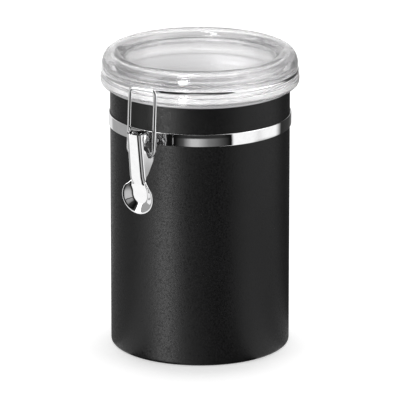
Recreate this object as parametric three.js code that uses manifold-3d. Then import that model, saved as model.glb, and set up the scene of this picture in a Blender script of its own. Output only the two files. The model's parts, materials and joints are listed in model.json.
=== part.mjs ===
// Clamp lid canister: a steel body with a band, a clear lid on a wire ring, and an over-centre latch.
// Millimetres, Z up. The base rests on Z = 0, the latch faces minus Y and the lid hinge is at plus Y.
import * as THREE from "three";
import { mergeVertices } from "three/addons/utils/BufferGeometryUtils.js";
import Module from "manifold-3d";

const wasm = await Module();
wasm.setup();

// Driving dimensions of the body.
const SEGMENTS = 64;
const BODY_RADIUS = 57.5;
const WALL = 0.8;
const FOOT_RADIUS = 2.2;
const HEM_INNER_RADIUS = 50.2;
const RIM_CURL_RADIUS = 1.7;
const RIM_TOP = 173.6;
const BASE_STEP_RADIUS = 48.3;
const BASE_EDGE_RADIUS = 55.4;

// Driving dimensions of the band and its brackets.
const GAP = 0.3;
const BAND_INNER_RADIUS = BODY_RADIUS + GAP;
const BAND_OUTER_RADIUS = 58.5;
const BAND_BOTTOM = 145.3;
const BAND_TOP = 153.3;
const EAR_INNER = 2.9;
const EAR_THICKNESS = 0.8;
const EAR_FOOT_END = 16;
const EAR_TIP_RADIUS = 3.8;
const EAR_GUSSET_BOTTOM = 139.5;

// Driving dimensions of the lid. Radii and heights of its two rings come from the groove between them.
const GROOVE_HEIGHT = 181.1;
const RING_WIRE_RADIUS = 1.1;
const RING_RADIUS = 61.9;
const UPPER_RING_RADIUS = 62.6;
const LOWER_RING_RADIUS = 63.5;
const LID_CREST = 194.1;
const LID_FLOOR_TOP = 188.8;
const LID_FLOOR_BOTTOM = 184.8;
const SKIRT_BOTTOM = 172.4;
const SKIRT_INNER_RADIUS = 61.2;
const CHANNEL_CEILING = 176.7;
const PLUG_RADIUS = 55.3;
const PLUG_BOTTOM = 165.3;
const PLUG_INNER_RADIUS = 52;

// Driving dimensions of the hinge and the latch. Distances named OUT are measured from the axis of the body.
const HINGE_OUT = 67;
const STRAP_HALF_WIDTH = 6;
const STRAP_THICKNESS = 1;
const STRAP_BEND_LOWER = BAND_TOP + 2;
const STRAP_BEND_UPPER = GROOVE_HEIGHT - 12.8;
const STRAP_OUT = BAND_OUTER_RADIUS + GAP + STRAP_THICKNESS / 2;
const RIVET_SPACING = 6.4;
const RIVET_HEIGHT = (BAND_BOTTOM + BAND_TOP) / 2;
const RIVET_RADIUS = 1.1;
const KEEPER_OUT = 63.1;
const PIN_OUT = 71.5;
const PIN_HEIGHT = 152;
const PIN_RADIUS = 1.5;
const PIN_HEAD_RADIUS = 3.3;
const PIN_HOLE_RADIUS = 1.8;
const BAIL_WIRE_RADIUS = 1.25;
const BAIL_PIVOT_OUT = 68.6;
const BAIL_PIVOT_HEIGHT = 139.5;
const BAIL_HOLE_RADIUS = 1.6;
const BAIL_HALF_WIDTH = 9.4;
const BAIL_FOOT_BEND = 3.2;
const BAIL_TOP_BEND = 3;
const CROSSBAR_OUT = 65.9;
const CROSSBAR_HEIGHT = 182.3;

// Driving dimensions of the lever, measured from its pin: outwards, and up along the lever.
const LEVER_LEAN = 7;
const LEVER_FACE = 5.75;
const LEVER_HALF_WIDTH = 5.3;
const LEVER_SHEET = 1;
const LEVER_TOP = 4;
const LEVER_LOBE_RADIUS = 4;
const LEVER_SPLAY = 12;
const NECK_DROP = 28.8;
const SPOON_RADIUS = 11.8;
const SPOON_DROP = 38.7;
const SPOON_RIM = 5.9;
const SPOON_DISH = 3.2;
const SPOON_FLAT = 5.3;
const SPOON_LIP = 0.7;

// Finishes.
const coat = new THREE.MeshStandardMaterial({ color: 0x1b1b1c, roughness: 0.5, metalness: 0.0 });
const steel = new THREE.MeshStandardMaterial({ color: 0xc9cacc, roughness: 0.3, metalness: 1.0 });
const polished = new THREE.MeshStandardMaterial({ color: 0xd8d9da, roughness: 0.08, metalness: 1.0 });
const acrylic = new THREE.MeshStandardMaterial({
  color: 0xeef2f3,
  roughness: 0.04,
  metalness: 0.0,
  transparent: true,
  opacity: 0.35,
});
const silicone = new THREE.MeshStandardMaterial({ color: 0xe9e9e6, roughness: 0.6, metalness: 0.0 });

const root = new THREE.Group();
root.name = "canister";

// A closed geometry as a solid, with its faces turned out.
function solidOf(geometry) {
  const bare = geometry.index ? geometry.toNonIndexed() : geometry.clone();
  bare.deleteAttribute("normal");
  bare.deleteAttribute("uv");
  const merged = mergeVertices(bare, 1e-4);
  const index = merged.index.array;
  const corners = [];
  for (let i = 0; i < index.length; i += 3) {
    const [a, b, c] = [index[i], index[i + 1], index[i + 2]];
    if (a !== b && b !== c && c !== a) corners.push(a, b, c);
  }
  const made = (order) =>
    new wasm.Manifold(
      new wasm.Mesh({
        numProp: 3,
        vertProperties: merged.attributes.position.array,
        triVerts: new Uint32Array(order),
      }),
    );
  const first = made(corners);
  if (first.volume() > 0) return first;
  const turnedRound = [];
  for (let i = 0; i < corners.length; i += 3) {
    turnedRound.push(corners[i], corners[i + 2], corners[i + 1]);
  }
  return made(turnedRound);
}

// Adds one solid to the assembly as a named piece.
function addPiece(name, solid, material) {
  const found = solid.getMesh();
  const geometry = new THREE.BufferGeometry();
  geometry.setAttribute("position", new THREE.BufferAttribute(found.vertProperties, 3));
  geometry.setIndex(new THREE.BufferAttribute(found.triVerts, 1));
  geometry.computeVertexNormals();
  const mesh = new THREE.Mesh(geometry, material.clone());
  mesh.name = name;
  root.add(mesh);
}

// A closed profile of [radius, height] points turned about Z.
function turned(profile, segments = SEGMENTS) {
  const points = [...profile, profile[0]].map(([radius, height]) => new THREE.Vector2(radius, height));
  return new THREE.LatheGeometry(points, segments).rotateX(Math.PI / 2);
}

// An outline of [y, z] points drawn out along X.
function drawnAlongX(outline, from, to) {
  const shape = new THREE.Shape(outline.map(([y, z]) => new THREE.Vector2(y, z)));
  const geometry = new THREE.ExtrudeGeometry(shape, { depth: to - from, bevelEnabled: false });
  const place = new THREE.Matrix4().makeBasis(
    new THREE.Vector3(0, 1, 0),
    new THREE.Vector3(0, 0, 1),
    new THREE.Vector3(1, 0, 0),
  );
  return geometry.applyMatrix4(place).translate(from, 0, 0);
}

// A round bar along X or Y, for pins and the holes that take them.
function barAlongX(radius, from, to, y, z, sides = 16) {
  const bar = new THREE.CylinderGeometry(radius, radius, to - from, sides).rotateZ(Math.PI / 2);
  return solidOf(bar.translate((from + to) / 2, y, z));
}

function barAlongY(radius, from, to, x, z, sides = 16) {
  const bar = new THREE.CylinderGeometry(radius, radius, to - from, sides);
  return solidOf(bar.translate(x, (from + to) / 2, z));
}

// Points on an arc in a plane, angles in degrees.
function arc(centreA, centreB, radius, from, to, steps) {
  return Array.from({ length: steps + 1 }, (_, i) => {
    const angle = THREE.MathUtils.degToRad(from + ((to - from) * i) / steps);
    return [centreA + radius * Math.cos(angle), centreB + radius * Math.sin(angle)];
  });
}

// A path of corner points with each inner corner rounded off to its own radius.
function roundedPath(corners, radii, steps) {
  const path = [corners[0]];
  for (let i = 1; i < corners.length - 1; i++) {
    const radius = radii[i - 1];
    const corner = corners[i];
    const back = corners[i - 1].clone().sub(corner).normalize();
    const ahead = corners[i + 1].clone().sub(corner).normalize();
    const half = back.angleTo(ahead) / 2;
    const reach = radius / Math.tan(half);
    const centre = back.clone().add(ahead).normalize().multiplyScalar(radius / Math.sin(half)).add(corner);
    const start = corner.clone().addScaledVector(back, reach).sub(centre);
    const end = corner.clone().addScaledVector(ahead, reach).sub(centre);
    const sweep = Math.PI - 2 * half;
    for (let k = 0; k <= steps; k++) {
      const share = k / steps;
      const point = start.clone().multiplyScalar(Math.sin((1 - share) * sweep) / Math.sin(sweep));
      point.addScaledVector(end, Math.sin(share * sweep) / Math.sin(sweep));
      path.push(point.add(centre));
    }
  }
  path.push(corners[corners.length - 1]);
  return path;
}

// A round wire along points that lie in one plane, closed into a loop or capped at both ends.
function wireAlong(path, radius, planeNormal, loop, sides = 8) {
  const count = path.length;
  const position = [];
  const index = [];
  path.forEach((point, i) => {
    const before = loop ? path[(i + count - 1) % count] : path[Math.max(i - 1, 0)];
    const after = loop ? path[(i + 1) % count] : path[Math.min(i + 1, count - 1)];
    const along = after.clone().sub(before).normalize();
    const across = along.clone().cross(planeNormal).normalize();
    const up = across.clone().cross(along).normalize();
    for (let k = 0; k < sides; k++) {
      const angle = (2 * Math.PI * (k + 0.5)) / sides;
      const rim = point.clone();
      rim.addScaledVector(across, radius * Math.cos(angle));
      rim.addScaledVector(up, radius * Math.sin(angle));
      position.push(rim.x, rim.y, rim.z);
    }
  });
  const spans = loop ? count : count - 1;
  for (let i = 0; i < spans; i++) {
    const here = i * sides;
    const next = ((i + 1) % count) * sides;
    for (let k = 0; k < sides; k++) {
      const l = (k + 1) % sides;
      index.push(here + k, here + l, next + l, here + k, next + l, next + k);
    }
  }
  if (!loop) {
    const last = (count - 1) * sides;
    for (let k = 1; k < sides - 1; k++) {
      index.push(0, k + 1, k, last, last + k, last + k + 1);
    }
  }
  const geometry = new THREE.BufferGeometry();
  geometry.setAttribute("position", new THREE.Float32BufferAttribute(position, 3));
  geometry.setIndex(index);
  return solidOf(geometry);
}

// Body shell: hem turned in at the foot, straight wall, rim curled out at the top.
const footCentre = BODY_RADIUS - FOOT_RADIUS;
const curlRadius = BODY_RADIUS - WALL - 0.1 + RIM_CURL_RADIUS;
const curlHeight = RIM_TOP - RIM_CURL_RADIUS;
addPiece(
  "body_shell",
  solidOf(
    turned([
      [HEM_INNER_RADIUS, 0],
      ...arc(footCentre, FOOT_RADIUS, FOOT_RADIUS, -90, 0, 3),
      ...arc(curlRadius, curlHeight, RIM_CURL_RADIUS, -120, 180, 7),
      ...arc(footCentre, FOOT_RADIUS, FOOT_RADIUS - WALL, 0, -90, 3),
      [HEM_INNER_RADIUS, WALL],
    ]),
  ),
  coat,
);

// Base plate: flat panel at floor height, stepped up to lie over the hem.
const lapHeight = WALL + GAP;
addPiece(
  "base_plate",
  solidOf(
    turned([
      [0, 0],
      [BASE_STEP_RADIUS - 0.8, 0],
      [BASE_STEP_RADIUS, 0.3],
      [BASE_STEP_RADIUS + 1, lapHeight],
      [BASE_EDGE_RADIUS, lapHeight],
      [BASE_EDGE_RADIUS, lapHeight + WALL],
      [BASE_STEP_RADIUS + 0.6, lapHeight + WALL],
      [BASE_STEP_RADIUS - 0.8, WALL + 0.2],
      [BASE_STEP_RADIUS - 1.6, WALL],
      [0, WALL],
    ]),
  ),
  steel,
);

// Clamp band: a plain strip with two rivet holes at the back.
let band = solidOf(
  turned([
    [BAND_INNER_RADIUS, BAND_BOTTOM],
    [BAND_OUTER_RADIUS, BAND_BOTTOM],
    [BAND_OUTER_RADIUS, BAND_TOP],
    [BAND_INNER_RADIUS, BAND_TOP],
  ]),
);
const rivetSides = [-RIVET_SPACING / 2, RIVET_SPACING / 2];
for (const x of rivetSides) {
  band = band.subtract(barAlongY(RIVET_RADIUS + GAP, 40, 70, x, RIVET_HEIGHT, 12));
}
addPiece("clamp_band", band, polished);

// Ear brackets: a standing gusset that reaches out to the pin, and a foot that follows the band.
function earBracket(side) {
  const rootOut = BAND_OUTER_RADIUS + GAP;
  const lower = BAND_BOTTOM + 0.3;
  const upper = BAND_TOP - 0.3;
  const faces = [side * EAR_INNER, side * (EAR_INNER + EAR_THICKNESS)];
  const ear = drawnAlongX(
    [
      [-rootOut - 0.2, EAR_GUSSET_BOTTOM + 0.6],
      [-rootOut - 4, EAR_GUSSET_BOTTOM],
      [-rootOut - 5.4, EAR_GUSSET_BOTTOM + 1.2],
      [-rootOut - 7.6, EAR_GUSSET_BOTTOM + 5.2],
      ...arc(-PIN_OUT, PIN_HEIGHT, EAR_TIP_RADIUS, 240, 90, 10),
      [-rootOut - 0.2, upper],
    ],
    Math.min(...faces),
    Math.max(...faces),
  );
  const degrees = (across) => THREE.MathUtils.radToDeg(Math.asin(across / rootOut)) - 90;
  const ends = [degrees(EAR_INNER), degrees(EAR_FOOT_END)];
  const inner = arc(0, 0, rootOut + 0.06, ends[0], ends[1], 4);
  const outer = arc(0, 0, rootOut + EAR_THICKNESS, ends[1], ends[0], 4);
  const footShape = new THREE.Shape([...inner, ...outer].map(([x, y]) => new THREE.Vector2(side * x, y)));
  const foot = new THREE.ExtrudeGeometry(footShape, { depth: upper - lower, bevelEnabled: false });
  const bent = solidOf(ear).add(solidOf(foot.translate(0, 0, lower)));
  return bent.subtract(barAlongX(PIN_HOLE_RADIUS, -10, 10, -PIN_OUT, PIN_HEIGHT));
}
addPiece("ear_bracket_left", earBracket(-1), polished);
addPiece("ear_bracket_right", earBracket(1), polished);

// Lever pivot pin: a rivet with a low head at each end.
const headFrom = LEVER_HALF_WIDTH + GAP;
addPiece(
  "lever_pivot_pin",
  solidOf(
    turned(
      [
        [0, -headFrom - 1],
        [1.8, -headFrom - 0.9],
        [PIN_HEAD_RADIUS - 0.2, -headFrom - 0.4],
        [PIN_HEAD_RADIUS, -headFrom],
        [PIN_RADIUS, -headFrom],
        [PIN_RADIUS, headFrom],
        [PIN_HEAD_RADIUS, headFrom],
        [PIN_HEAD_RADIUS - 0.2, headFrom + 0.4],
        [1.8, headFrom + 0.9],
        [0, headFrom + 1],
      ],
      20,
    )
      .rotateY(Math.PI / 2)
      .translate(0, -PIN_OUT, PIN_HEIGHT),
  ),
  polished,
);

// Hinge bracket: a strap that stands off the band and curls round the hinge length of the ring.
const knuckleRadius = RING_WIRE_RADIUS + GAP + STRAP_THICKNESS / 2;
const strapUpperOut = HINGE_OUT - knuckleRadius;
const strapLine = [
  ...roundedPath(
    [
      new THREE.Vector3(STRAP_OUT, BAND_BOTTOM + 0.5, 0),
      new THREE.Vector3(STRAP_OUT, STRAP_BEND_LOWER, 0),
      new THREE.Vector3(strapUpperOut, STRAP_BEND_UPPER, 0),
      new THREE.Vector3(strapUpperOut, GROOVE_HEIGHT, 0),
    ],
    [4, 4],
    4,
  )
    .slice(0, -1)
    .map((point) => [point.x, point.y]),
  ...arc(HINGE_OUT, GROOVE_HEIGHT, knuckleRadius, 180, -80, 10),
];
const strapSides = [-1, 1].map((side) =>
  strapLine.map(([y, z], i) => {
    const before = strapLine[Math.max(i - 1, 0)];
    const after = strapLine[Math.min(i + 1, strapLine.length - 1)];
    const along = new THREE.Vector2(after[0] - before[0], after[1] - before[1]).normalize();
    const off = (side * STRAP_THICKNESS) / 2;
    return [y - along.y * off, z + along.x * off];
  }),
);
let strap = solidOf(
  drawnAlongX([...strapSides[0], ...strapSides[1].reverse()], -STRAP_HALF_WIDTH, STRAP_HALF_WIDTH),
);
for (const x of rivetSides) {
  strap = strap.subtract(barAlongY(RIVET_RADIUS + GAP, 50, 61, x, RIVET_HEIGHT, 12));
}
addPiece("hinge_bracket", strap, polished);

// Hinge rivets: shank through strap and band, domed head outside.
const rivetHead = STRAP_OUT + STRAP_THICKNESS / 2 + GAP;
function hingeRivet(x) {
  const inside = BAND_INNER_RADIUS + 0.15;
  const profile = [
    [0, inside],
    [RIVET_RADIUS, inside],
    [RIVET_RADIUS, rivetHead],
    [2.2, rivetHead],
    [2, rivetHead + 0.6],
    [1.1, rivetHead + 1],
    [0, rivetHead + 1.1],
  ].map(([radius, out]) => new THREE.Vector2(radius, out));
  profile.push(profile[0]);
  return solidOf(new THREE.LatheGeometry(profile, 12).translate(x, 0, RIVET_HEIGHT));
}
addPiece("hinge_rivet_left", hingeRivet(rivetSides[0]), polished);
addPiece("hinge_rivet_right", hingeRivet(rivetSides[1]), polished);

// Lid: dished top, upper ring, groove, lower ring, channel for the seal, plug and hollow underside.
// The rings are hollow too, open to the channel below, so that the walls stay about equally thick.
addPiece(
  "lid",
  solidOf(
    turned([
      [0, LID_FLOOR_TOP],
      [46.5, LID_FLOOR_TOP],
      [48.2, LID_FLOOR_TOP + 0.6],
      [49.4, LID_FLOOR_TOP + 2.2],
      [50.8, LID_CREST - 1.3],
      [53.2, LID_CREST - 0.3],
      [56, LID_CREST],
      [58.4, LID_CREST - 0.9],
      [60.5, LID_CREST - 2.7],
      [61.9, LID_CREST - 5.2],
      [UPPER_RING_RADIUS, LID_CREST - 8.2],
      [62.2, GROOVE_HEIGHT + 2.8],
      [61.3, GROOVE_HEIGHT + 1.5],
      [RING_RADIUS - RING_WIRE_RADIUS - 0.4, GROOVE_HEIGHT + 0.7],
      [RING_RADIUS - RING_WIRE_RADIUS - 0.4, GROOVE_HEIGHT - 0.7],
      [61.3, GROOVE_HEIGHT - 1.5],
      [62.5, GROOVE_HEIGHT - 2.2],
      [63.2, GROOVE_HEIGHT - 3.1],
      [LOWER_RING_RADIUS, GROOVE_HEIGHT - 4.4],
      [63.3, SKIRT_BOTTOM + 1.8],
      [62.8, SKIRT_BOTTOM + 0.5],
      [62.1, SKIRT_BOTTOM],
      [SKIRT_INNER_RADIUS + 0.3, SKIRT_BOTTOM],
      [SKIRT_INNER_RADIUS, SKIRT_BOTTOM + 0.5],
      [SKIRT_INNER_RADIUS, CHANNEL_CEILING],
      [59.6, CHANNEL_CEILING],
      [58.2, GROOVE_HEIGHT - 1.6],
      [58.4, GROOVE_HEIGHT + 3],
      [59.8, GROOVE_HEIGHT + 4.6],
      [59.4, LID_CREST - 5.4],
      [58, LID_CREST - 3.6],
      [56, LID_CREST - 2.8],
      [53.8, LID_CREST - 3.2],
      [52.8, LID_CREST - 5],
      [53.6, LID_CREST - 9],
      [PLUG_RADIUS, GROOVE_HEIGHT - 2],
      [PLUG_RADIUS - 0.2, PLUG_BOTTOM + 0.8],
      [PLUG_RADIUS - 1, PLUG_BOTTOM],
      [PLUG_INNER_RADIUS + 1.3, PLUG_BOTTOM],
      [PLUG_INNER_RADIUS + 0.6, PLUG_BOTTOM + 0.8],
      [PLUG_INNER_RADIUS, LID_FLOOR_BOTTOM - 1.2],
      [PLUG_INNER_RADIUS - 1.2, LID_FLOOR_BOTTOM],
      [0, LID_FLOOR_BOTTOM],
    ]),
  ),
  acrylic,
);

// Seal: a soft ring held in the channel over the rim.
addPiece(
  "lid_gasket",
  solidOf(
    turned([
      [56.2, RIM_TOP + GAP + 0.4],
      [56.7, RIM_TOP + GAP],
      [60.2, RIM_TOP + GAP],
      [60.7, RIM_TOP + GAP + 0.4],
      [60.7, CHANNEL_CEILING - GAP],
      [56.2, CHANNEL_CEILING - GAP],
    ]),
  ),
  silicone,
);

// Lid wire ring: a circle in the groove, with a straight keeper length in front and a hinge length behind.
const keeperEnd = 7;
const keeperJoin = 13;
const hingeEnd = 7.4;
const hingeJoin = 16;
function blend(startX, startY, endX, endY, endSlope, steps) {
  const width = endX - startX;
  return Array.from({ length: steps }, (_, i) => {
    const s = i / steps;
    const rise = 3 * s * s - 2 * s * s * s;
    const lean = s * s * s - s * s;
    return [startX + width * s, startY + (endY - startY) * rise + endSlope * width * lean];
  });
}
const circleY = (x) => Math.sqrt(RING_RADIUS * RING_RADIUS - x * x);
const circleFrom = THREE.MathUtils.radToDeg(Math.asin(keeperJoin / RING_RADIUS)) - 90;
const circleTo = 90 - THREE.MathUtils.radToDeg(Math.asin(hingeJoin / RING_RADIUS));
const keeperY = circleY(keeperJoin);
const hingeY = circleY(hingeJoin);
const rightHalf = [
  [0, -KEEPER_OUT],
  ...blend(keeperEnd, -KEEPER_OUT, keeperJoin, -keeperY, keeperJoin / keeperY, 5),
  ...arc(0, 0, RING_RADIUS, circleFrom, circleTo, 30),
  ...blend(hingeEnd, HINGE_OUT, hingeJoin, hingeY, -hingeJoin / hingeY, 7).reverse(),
  [0, HINGE_OUT],
];
const leftHalf = rightHalf
  .slice(1, -1)
  .map(([x, y]) => [-x, y])
  .reverse();
const ringPath = [...rightHalf, ...leftHalf].map(([x, y]) => new THREE.Vector3(x, y, GROOVE_HEIGHT));
addPiece(
  "lid_wire_ring",
  wireAlong(ringPath, RING_WIRE_RADIUS, new THREE.Vector3(0, 0, 1), true),
  polished,
);

// Latch lever: web, two flanges cut back between pivot and bail hole, and a dished thumb end.
// The lobes round the pin stand square, and the ears that carry the bail are splayed out.
const onLever = (geometry) =>
  solidOf(geometry.rotateX(THREE.MathUtils.degToRad(LEVER_LEAN)).translate(0, -PIN_OUT, PIN_HEIGHT));
const outward = (outline) => outline.map(([out, up]) => [-out, up]);
const leverBack = LEVER_FACE - LEVER_SHEET;
const web = drawnAlongX(
  outward([
    [LEVER_FACE, -NECK_DROP],
    [LEVER_FACE, LEVER_TOP - 0.5],
    [LEVER_FACE - 0.5, LEVER_TOP],
    [leverBack, LEVER_TOP],
    [leverBack, -NECK_DROP],
  ]),
  -LEVER_HALF_WIDTH,
  LEVER_HALF_WIDTH,
);
const lobeOutline = outward([
  [LEVER_FACE, -NECK_DROP],
  [LEVER_FACE, LEVER_TOP - 0.5],
  [LEVER_FACE - 0.5, LEVER_TOP],
  ...arc(0, 0, LEVER_LOBE_RADIUS, 90, 230, 9),
  [3.4, -5],
  [3.4, -26],
  [leverBack, -NECK_DROP],
]);
const bailEarOutline = outward([
  [leverBack, -4.4],
  [3.3, -4.8],
  [0.2, -9.3],
  [-1.6, -9.6],
  [-3.6, -10.3],
  [-4.6, -11.7],
  [-4.8, -13.4],
  [-4.3, -15.2],
  [3, -26.2],
  [leverBack, -28.4],
]);
const spoonFloor = SPOON_RIM - SPOON_DISH;
const dish = [
  [0, -spoonFloor],
  [SPOON_FLAT, -spoonFloor],
  [SPOON_FLAT + 1, -spoonFloor - 0.3],
  [SPOON_RADIUS - SPOON_LIP, -SPOON_RIM],
  [SPOON_RADIUS, -SPOON_RIM],
];
const dishBack = dish.map(([out, y]) => [out, y + LEVER_SHEET]).reverse();
const dishPoints = [...dish, ...dishBack, dish[0]].map(([out, y]) => new THREE.Vector2(out, y));
let lever = onLever(web).add(onLever(new THREE.LatheGeometry(dishPoints, 28).translate(0, 0, -SPOON_DROP)));
for (const side of [-1, 1]) {
  const sheetMiddle = side * (LEVER_HALF_WIDTH - LEVER_SHEET / 2);
  const from = sheetMiddle - LEVER_SHEET / 2;
  const bailEar = drawnAlongX(bailEarOutline, -LEVER_SHEET / 2, LEVER_SHEET / 2)
    .translate(0, leverBack - 0.5, 0)
    .rotateZ(THREE.MathUtils.degToRad(-side * LEVER_SPLAY))
    .translate(sheetMiddle, 0.5 - leverBack, 0);
  lever = lever.add(onLever(drawnAlongX(lobeOutline, from, from + LEVER_SHEET))).add(onLever(bailEar));
}
lever = lever
  .subtract(barAlongX(PIN_HOLE_RADIUS, -10, 10, -PIN_OUT, PIN_HEIGHT))
  .subtract(barAlongX(BAIL_HOLE_RADIUS, -10, 10, -BAIL_PIVOT_OUT, BAIL_PIVOT_HEIGHT));
addPiece("latch_lever", lever, polished);

// Bail wire: ends turned in through the lever's flanges, two legs, and a crossbar in front of the keeper.
const bailPoint = (x, height) => {
  const share = (height - BAIL_PIVOT_HEIGHT) / (CROSSBAR_HEIGHT - BAIL_PIVOT_HEIGHT);
  return new THREE.Vector3(x, -(BAIL_PIVOT_OUT + (CROSSBAR_OUT - BAIL_PIVOT_OUT) * share), height);
};
const bailEnd = LEVER_HALF_WIDTH - LEVER_SHEET - 0.8;
const bailPath = roundedPath(
  [
    bailPoint(-bailEnd, BAIL_PIVOT_HEIGHT),
    bailPoint(-BAIL_HALF_WIDTH, BAIL_PIVOT_HEIGHT),
    bailPoint(-BAIL_HALF_WIDTH, CROSSBAR_HEIGHT),
    bailPoint(BAIL_HALF_WIDTH, CROSSBAR_HEIGHT),
    bailPoint(BAIL_HALF_WIDTH, BAIL_PIVOT_HEIGHT),
    bailPoint(bailEnd, BAIL_PIVOT_HEIGHT),
  ],
  [BAIL_FOOT_BEND, BAIL_TOP_BEND, BAIL_TOP_BEND, BAIL_FOOT_BEND],
  6,
);
const bailUp = bailPath[8].clone().sub(bailPath[1]).normalize();
const bailNormal = new THREE.Vector3(1, 0, 0).cross(bailUp).normalize();
addPiece("bail_wire", wireAlong(bailPath, BAIL_WIRE_RADIUS, bailNormal, false), polished);

export default root;
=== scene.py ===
"""Looks of a clamp lid canister: black coat, clear lid, polished band, lever latch and wires."""

import json
import math

import bmesh
import bpy
from mathutils import Matrix, Vector


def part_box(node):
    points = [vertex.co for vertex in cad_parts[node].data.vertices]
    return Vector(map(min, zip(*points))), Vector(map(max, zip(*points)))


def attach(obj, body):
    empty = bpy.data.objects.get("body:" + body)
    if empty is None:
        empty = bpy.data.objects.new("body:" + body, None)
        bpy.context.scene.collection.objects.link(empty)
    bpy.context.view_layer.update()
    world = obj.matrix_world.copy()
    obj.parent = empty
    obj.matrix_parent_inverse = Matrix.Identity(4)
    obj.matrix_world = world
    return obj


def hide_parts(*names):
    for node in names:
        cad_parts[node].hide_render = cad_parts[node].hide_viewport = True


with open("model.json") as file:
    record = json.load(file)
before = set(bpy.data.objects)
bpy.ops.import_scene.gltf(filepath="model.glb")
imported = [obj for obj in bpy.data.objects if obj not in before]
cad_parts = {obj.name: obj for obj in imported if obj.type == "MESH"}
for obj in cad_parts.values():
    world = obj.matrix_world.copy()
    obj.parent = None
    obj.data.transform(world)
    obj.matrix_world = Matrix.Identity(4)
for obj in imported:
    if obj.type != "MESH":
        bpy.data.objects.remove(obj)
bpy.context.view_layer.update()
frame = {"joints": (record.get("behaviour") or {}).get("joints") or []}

MM = 0.001
ROUND_STEPS = 192

# Places on the canister, in millimetres, read from the solids and their joints
JOINTS = {joint["name"]: Vector(joint["pos_m"]) / MM for joint in frame["joints"]}
PIN = JOINTS["lever_pivot"]
BAIL_FOOT = JOINTS["bail_swing"]
HINGE = JOINTS["lid_hinge"]
BAND_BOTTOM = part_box("clamp_band")[0].z / MM
BAND_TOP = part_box("clamp_band")[1].z / MM
BAND_MIDDLE = (BAND_BOTTOM + BAND_TOP) / 2
RIM_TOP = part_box("body_shell")[1].z / MM
LID_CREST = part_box("lid")[1].z / MM
PLUG_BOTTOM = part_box("lid")[0].z / MM
GROOVE = HINGE.z

# Camera, its azimuth counted from the front of the latch
VIEW_AZIMUTH = math.radians(32.8)
VIEW_PITCH = math.radians(16.5)
VIEW_DISTANCE = 3.0
VIEW_LENS = 420.0
VIEW_SENSOR = 36.0
AIM_HEIGHT = 0.0935


# Shader sums

class Shade:
    """One shader socket. Sums on it add the Math nodes that they need."""

    def __init__(self, tree, socket=None):
        self.tree = tree
        self.socket = socket

    def node(self, kind, settings, sockets, output=0):
        """Add any node: its settings first, then the values or links of its sockets."""
        made = self.tree.nodes.new("ShaderNode" + kind)
        for name, value in settings.items():
            if name == "stops":
                set_stops(made.color_ramp, value)
            else:
                setattr(made, name, value)
        for name, value in sockets.items():
            if isinstance(value, Shade):
                self.tree.links.new(value.socket, made.inputs[name])
            else:
                made.inputs[name].default_value = value
        return Shade(self.tree, made.outputs[output] if made.outputs else None)

    def sum(self, operation, first, second):
        return self.node("Math", {"operation": operation}, {0: first, 1: second})

    def __add__(self, other):
        return self.sum("ADD", self, other)

    def __radd__(self, other):
        return self.sum("ADD", other, self)

    def __sub__(self, other):
        return self.sum("SUBTRACT", self, other)

    def __rsub__(self, other):
        return self.sum("SUBTRACT", other, self)

    def __mul__(self, other):
        return self.sum("MULTIPLY", self, other)

    def __rmul__(self, other):
        return self.sum("MULTIPLY", other, self)

    def __truediv__(self, other):
        return self.sum("DIVIDE", self, other)


def set_stops(ramp, stops):
    """Give a colour ramp its stops, each a place and a grey level or a colour."""
    while len(ramp.elements) > 1:
        ramp.elements.remove(ramp.elements[0])
    for index, (place, level) in enumerate(stops):
        stop = ramp.elements[0] if index == 0 else ramp.elements.new(place)
        stop.position = place
        stop.color = (*level, 1) if isinstance(level, tuple) else (level, level, level, 1)


def on_ramp(start, stops, share):
    """The colour or grey level at a share of a colour ramp."""
    return start.node("ValToRGB", {"stops": stops}, {"Fac": share})


def blend(start, share, first, second):
    """A colour between two others."""
    return start.node("Mix", {"data_type": "RGBA"}, {0: share, 6: first, 7: second}, 2)


# Finishes

def new_finish(name):
    """An empty material, the start of its sums, and the places on its piece."""
    finish = bpy.data.materials.new(name)
    finish.use_nodes = True
    finish.node_tree.nodes.clear()
    start = Shade(finish.node_tree)
    place = start.node("TexCoord", {}, {}, "Object")
    return finish, start, place


def noise(start, place, scale, detail, roughness=0.5):
    """A noise of about 0.3 to 0.7 over the piece."""
    return start.node("TexNoise", {}, {
        "Vector": place, "Scale": scale, "Detail": detail, "Roughness": roughness})


def tones(start, dark, pale, share):
    """The colours that a noise runs through."""
    return on_ramp(start, [(0.3, dark), (0.7, pale)], share)


def relief(start, height, strength, depth):
    """A fine relief of the surface, its depth in millimetres."""
    return start.node("Bump", {}, {"Height": height, "Strength": strength, "Distance": depth * MM})


def close_finish(start, sockets):
    """The shader of a material, from the values and links of its sockets."""
    shader = start.node("BsdfPrincipled", {}, sockets)
    start.node("OutputMaterial", {}, {"Surface": shader})


def black_coat_finish():
    """Sprayed black coat with a fine grain and a soft unevenness."""
    finish, start, place = new_finish("black_coat")
    grain = noise(start, place, 2600.0, 2.0)
    speckle = noise(start, place, 900.0, 3.0)
    cloud = noise(start, place, 35.0, 2.0)
    tone = tones(start, (0.003, 0.003, 0.0033), (0.008, 0.008, 0.0084), speckle * 0.6 + cloud * 0.4)
    close_finish(start, {
        "Base Color": tone,
        "Roughness": 0.03 + speckle * 0.78 + cloud * 0.04,
        "Normal": relief(start, grain + speckle, 0.5, 0.1),
        "IOR": 1.5,
        "Specular IOR Level": 0.25})
    return finish


def polished_steel_finish():
    """Bright polished steel with faint wipe marks."""
    finish, start, place = new_finish("polished_steel")
    marks = noise(start, place, 240.0, 4.0, 0.7)
    close_finish(start, {
        "Base Color": tones(start, (0.86, 0.86, 0.865), (0.93, 0.93, 0.935), marks),
        "Roughness": 0.02 + marks * 0.05,
        "Normal": relief(start, marks, 0.02, 0.2),
        "Metallic": 1.0})
    return finish


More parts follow.
